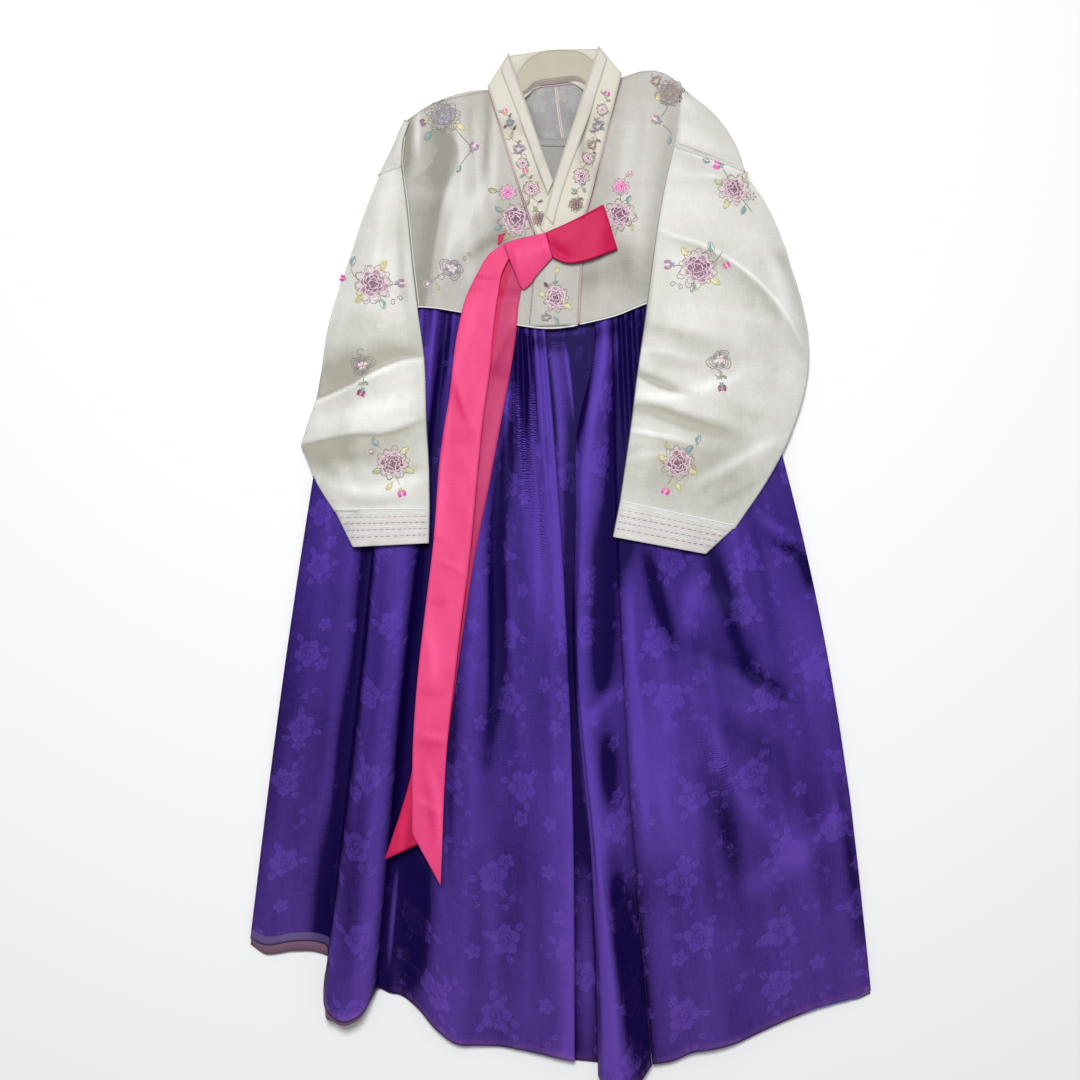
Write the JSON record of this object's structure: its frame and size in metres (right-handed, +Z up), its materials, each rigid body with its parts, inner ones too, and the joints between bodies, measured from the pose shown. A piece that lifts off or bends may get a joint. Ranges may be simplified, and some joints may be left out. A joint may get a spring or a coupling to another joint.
{
  "type": "korean hanbok",
  "caption": "Laid-flat hanbok: cream jacket with sleeves folded forward and a one-loop ribbon bow, over a long gathered wrap skirt that fans out to its hem.",
  "frame": {"origin": "centre of the bounding box, on the underside, which lies flat on the surface", "axes": "+Y from the hem to the collar, +X to the wearer's left, +Z up from the surface"},
  "size_m": [0.7992, 1.338, 0.04],
  "materials": {
    "cream_organza": "satin",
    "purple_organza": "satin",
    "rose_organza": "satin",
    "pink_organza": "satin",
    "white_cotton": "matte"
  },
  "bodies": {
    "root": {"jeogori_back": "cream_organza", "jeogori_front_right": "cream_organza", "jeogori_front_left": "cream_organza", "seop_outer": "cream_organza", "sleeve_left": "cream_organza", "sleeve_right": "cream_organza", "cuff_left": "cream_organza", "cuff_right": "cream_organza", "git_back": "cream_organza", "git_left": "cream_organza", "git_right": "cream_organza", "dongjeong_back": "white_cotton", "dongjeong_left": "white_cotton", "dongjeong_right": "white_cotton", "goreum_back_tail": "pink_organza", "goreum_front_tail": "pink_organza", "goreum_loop": "pink_organza", "goreum_end": "pink_organza", "goreum_knot": "pink_organza", "chima_bodice_back": "white_cotton", "chima_bodice_front": "white_cotton", "chima_back": "purple_organza", "chima_front_left": "purple_organza", "chima_front_centre": "purple_organza", "chima_front_right": "purple_organza", "chima_underskirt": "rose_organza"}
  },
  "joints": []
}
